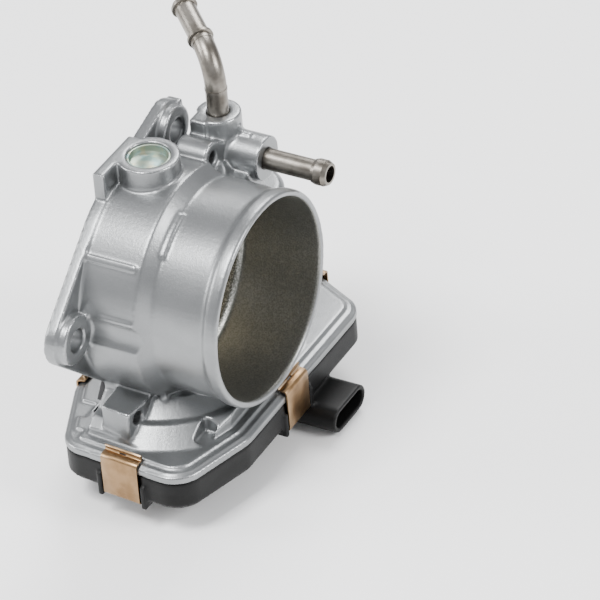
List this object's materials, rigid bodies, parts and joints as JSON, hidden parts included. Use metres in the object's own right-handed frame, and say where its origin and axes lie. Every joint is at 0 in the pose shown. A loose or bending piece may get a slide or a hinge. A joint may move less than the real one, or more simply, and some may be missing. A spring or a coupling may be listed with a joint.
{
  "type": "electronic throttle body",
  "caption": "Motor-driven butterfly valve in a cast body with a beaded intake barrel, bolted flange, coolant nipples and a clipped gear case.",
  "frame": {"origin": "centre of the air passage in the plane of the mating face", "axes": "+X out of the intake barrel along the air passage, +Z along the valve shaft away from the gear case, +Y completes a right-handed frame and points from the valve shaft towards the motor"},
  "size_m": [0.0861, 0.138, 0.1527],
  "materials": {
    "cast_aluminium": "satin, die cast",
    "zinc_plate": "satin, zinc plated",
    "bearing_steel": "polished",
    "seal_rubber": "matte",
    "turned_steel": "turned, satin",
    "valve_brass": "satin",
    "gear_nylon": "matte",
    "magnet_black": "satin",
    "spring_steel": "satin",
    "motor_steel": "satin, plated",
    "sintered_bronze": "satin",
    "armature": "lacquered",
    "cover_plastic": "matte, moulded",
    "clip_bronze": "satin, passivated",
    "circuit_board": "lacquered",
    "chip_black": "matte",
    "tinned_pins": "tinned",
    "tube_stainless": "drawn, brownish",
    "gasket_rubber": "matte"
  },
  "bodies": {
    "body": {"housing": "cast_aluminium", "shaft_plug": "zinc_plate", "upper_bearing": "bearing_steel", "lower_bearing": "bearing_steel", "shaft_seal": "seal_rubber", "return_spring": "spring_steel", "intermediate_pin": "turned_steel", "motor_can": "motor_steel", "motor_end_plate": "motor_steel", "motor_screws": "zinc_plate", "motor_magnets": "magnet_black", "motor_bushings": "sintered_bronze", "wave_washer": "spring_steel", "gear_cover": "cover_plastic", "cover_seal": "seal_rubber", "cover_clips": "clip_bronze", "sensor_board": "circuit_board", "sensor_chips": "chip_black", "connector_pins": "tinned_pins", "coolant_tube_bent": "tube_stainless", "coolant_tube_straight": "tube_stainless"},
    "valve": {"throttle_shaft": "turned_steel", "throttle_plate": "valve_brass", "plate_screws": "zinc_plate", "sector_gear": "gear_nylon", "rotor_magnet": "magnet_black"},
    "intermediate": {"intermediate_gear": "gear_nylon"},
    "rotor": {"motor_armature": "armature", "motor_shaft": "turned_steel", "motor_pinion": "sintered_bronze"},
    "gasket": {"flange_gasket": "gasket_rubber"}
  },
  "joints": [
    {"name": "valve_turn", "type": "hinge", "parent": "body", "child": "valve", "pos_m": [0.0125, 0, 0], "axis": [0, 0, 1], "range_deg": [0, 84], "stiffness_Nm_per_rad": 0.1, "springref_deg": -28.65},
    {"name": "intermediate_turn", "type": "hinge", "parent": "body", "child": "intermediate", "pos_m": [0.0178, 0.02831, -0.05], "axis": [0, 0, 1], "range_deg": [-420, 0]},
    {"name": "rotor_turn", "type": "hinge", "parent": "body", "child": "rotor", "pos_m": [0.0145, 0.0545, -0.03], "axis": [0, 0, 1], "range_deg": [0, 1890]},
    {"name": "gasket_pull_off", "type": "slide", "parent": "body", "child": "gasket", "axis": [-1, 0, 0], "range_m": [0, 0.03]}
  ],
  "couplings": [
    {"joint": "intermediate_turn", "follows": "valve_turn", "ratio": -5},
    {"joint": "rotor_turn", "follows": "valve_turn", "ratio": 22.5}
  ]
}
